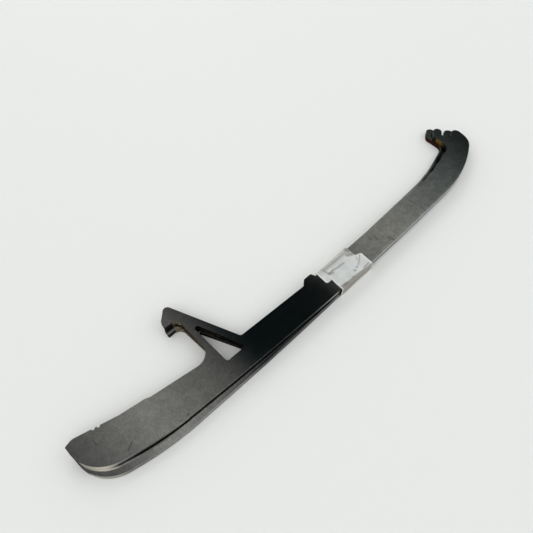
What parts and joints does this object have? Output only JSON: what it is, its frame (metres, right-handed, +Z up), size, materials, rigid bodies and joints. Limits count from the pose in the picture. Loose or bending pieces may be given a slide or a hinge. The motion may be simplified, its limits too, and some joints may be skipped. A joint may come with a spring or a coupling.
{
  "type": "skate runner pair",
  "caption": "Pair of flat steel hockey skate runners, fanned out and bound with tape; each has a latch hook arm, a notched toe hook and a hollow-ground rockered edge.",
  "frame": {"origin": "under the middle of the tape, on the surface that the pair lies on", "axes": "+X from heel to toe along the ice line, +Y from the running edge towards the boot, +Z up through the stack"},
  "size_m": [0.2916, 0.0554, 0.0065],
  "materials": {
    "steel": "satin rolled stainless steel with a fine grain",
    "tape": "thin white tape, matte and slightly see-through"
  },
  "bodies": {
    "bound_runner": {"lower_runner": "steel", "tape_wrap": "tape"},
    "fanned_runner": {"upper_runner": "steel"}
  },
  "joints": [
    {"name": "runner_scissor", "type": "hinge", "parent": "bound_runner", "child": "fanned_runner", "pos_m": [0, 0, 0.0031], "axis": [0, 0, 1], "range_deg": [-0.4, 1.94]}
  ]
}
